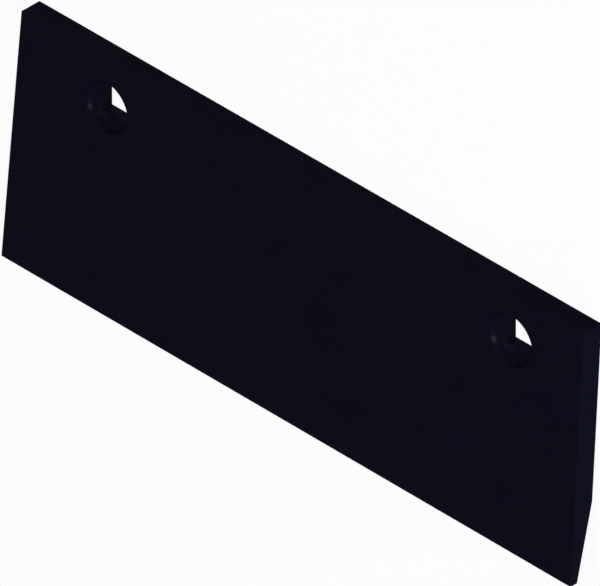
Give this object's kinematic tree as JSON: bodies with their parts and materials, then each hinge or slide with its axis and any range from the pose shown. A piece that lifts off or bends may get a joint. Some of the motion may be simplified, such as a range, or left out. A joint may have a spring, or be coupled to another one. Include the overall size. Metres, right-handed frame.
{
  "type": "knife share",
  "caption": "Flat steel blade for a farm implement, with a bevelled cutting edge and countersunk, square-necked bolt holes.",
  "frame": {"origin": "midway between the centres of the two bolt holes, on the back face that lies against the carrier", "axes": "+X along the blade towards its more upright end, +Y towards the bolt edge, +Z out of the front face where the bolt heads sit; the blade lies on its back face"},
  "size_m": [0.3263, 0.1255, 0.01],
  "materials": {
    "blade_steel": "satin"
  },
  "bodies": {
    "root": {"knife_share": "blade_steel"}
  },
  "joints": []
}
